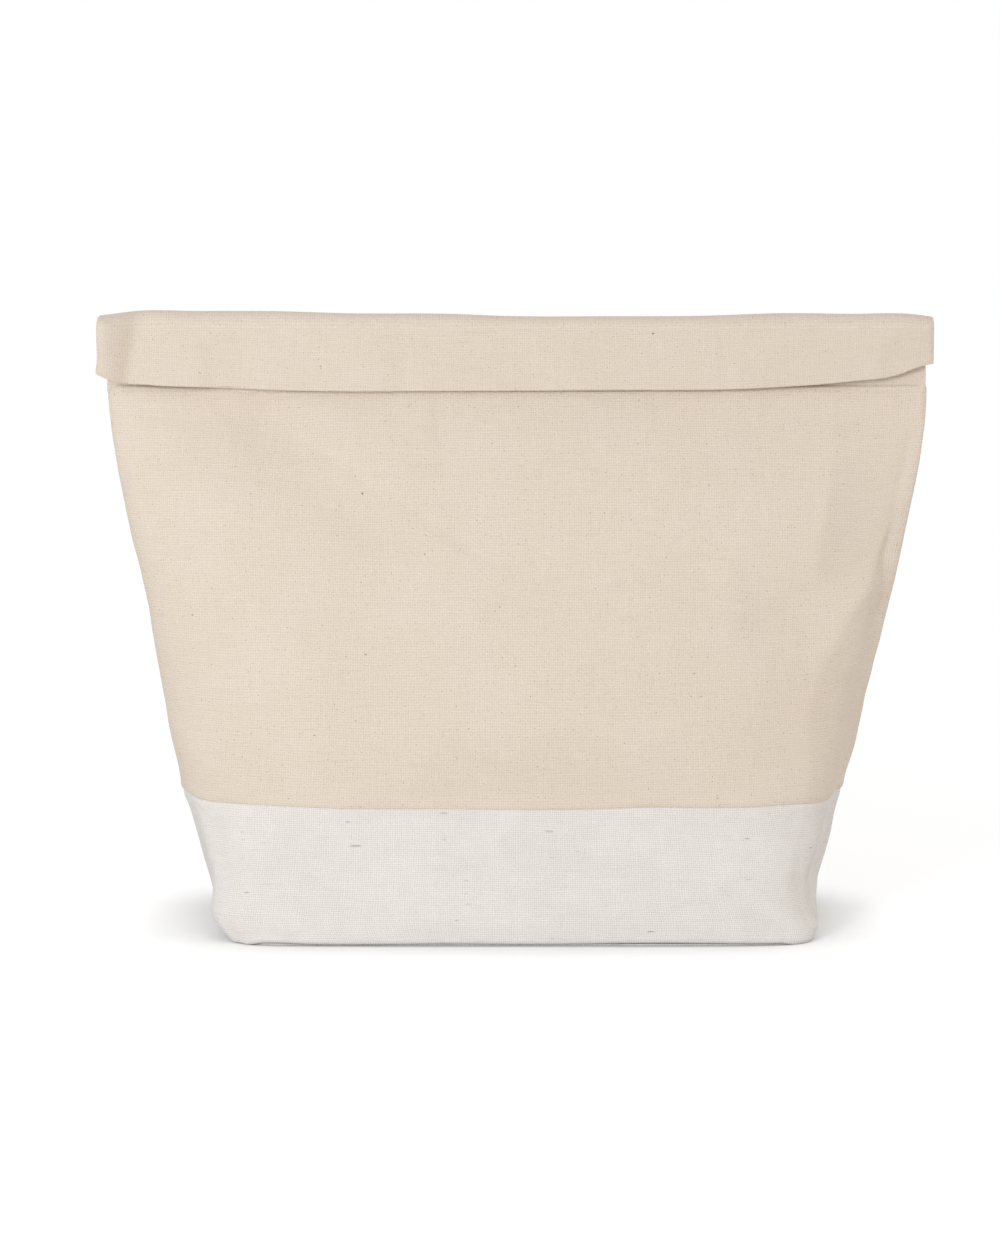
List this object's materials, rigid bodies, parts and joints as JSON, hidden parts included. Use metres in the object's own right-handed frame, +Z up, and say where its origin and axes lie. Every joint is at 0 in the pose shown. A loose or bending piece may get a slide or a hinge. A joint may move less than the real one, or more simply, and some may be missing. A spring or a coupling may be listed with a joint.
{
  "type": "insulated bag",
  "caption": "Box-bottomed insulated fabric bag with a fold-over top: canvas above, coarse jute-cotton cloth below, foam walls and a foil lining.",
  "frame": {"origin": "middle of the bag's underside, on the surface it stands on", "axes": "+Z up, +X along the bag's width to the right seen from the front, +Y to the back; the front faces -Y"},
  "size_m": [0.434, 0.1638, 0.3155],
  "materials": {
    "canvas": "plain-woven cotton canvas, warm cream, matte",
    "juco": "coarse plain-woven jute and cotton, off-white, matte, slubby",
    "foam": "white closed-cell foam sheet",
    "foil": "satin foil laminate",
    "board": "plain plastic stiffener",
    "tape": "woven closure tape"
  },
  "bodies": {
    "bag": {"juco_wall_front": "juco", "juco_wall_back": "juco", "juco_base": "juco", "canvas_front": "canvas", "canvas_back": "canvas", "neck_band_front": "canvas", "neck_band_back": "canvas", "front_fold": "canvas", "back_fold": "canvas", "foam_front": "foam", "foam_back": "foam", "foam_left": "foam", "foam_right": "foam", "foam_base": "foam", "lining_front": "foil", "lining_back": "foil", "lining_left": "foil", "lining_right": "foil", "lining_base": "foil", "base_board": "board", "hook_strip": "tape"},
    "flap": {"front_lip": "canvas", "loop_strip": "tape"},
    "outer_lip": {"back_lip": "canvas"}
  },
  "joints": [
    {"name": "top_fold", "type": "hinge", "parent": "bag", "child": "flap", "pos_m": [0, -0.00675, 0.3095], "axis": [-1, 0, 0], "range_deg": [0, 180], "deforming": ["front_fold", "back_fold"]},
    {"name": "mouth_open", "type": "hinge", "parent": "flap", "child": "outer_lip", "pos_m": [0, -0.0112, 0.3095], "axis": [-1, 0, 0], "range_deg": [0, 40]}
  ]
}
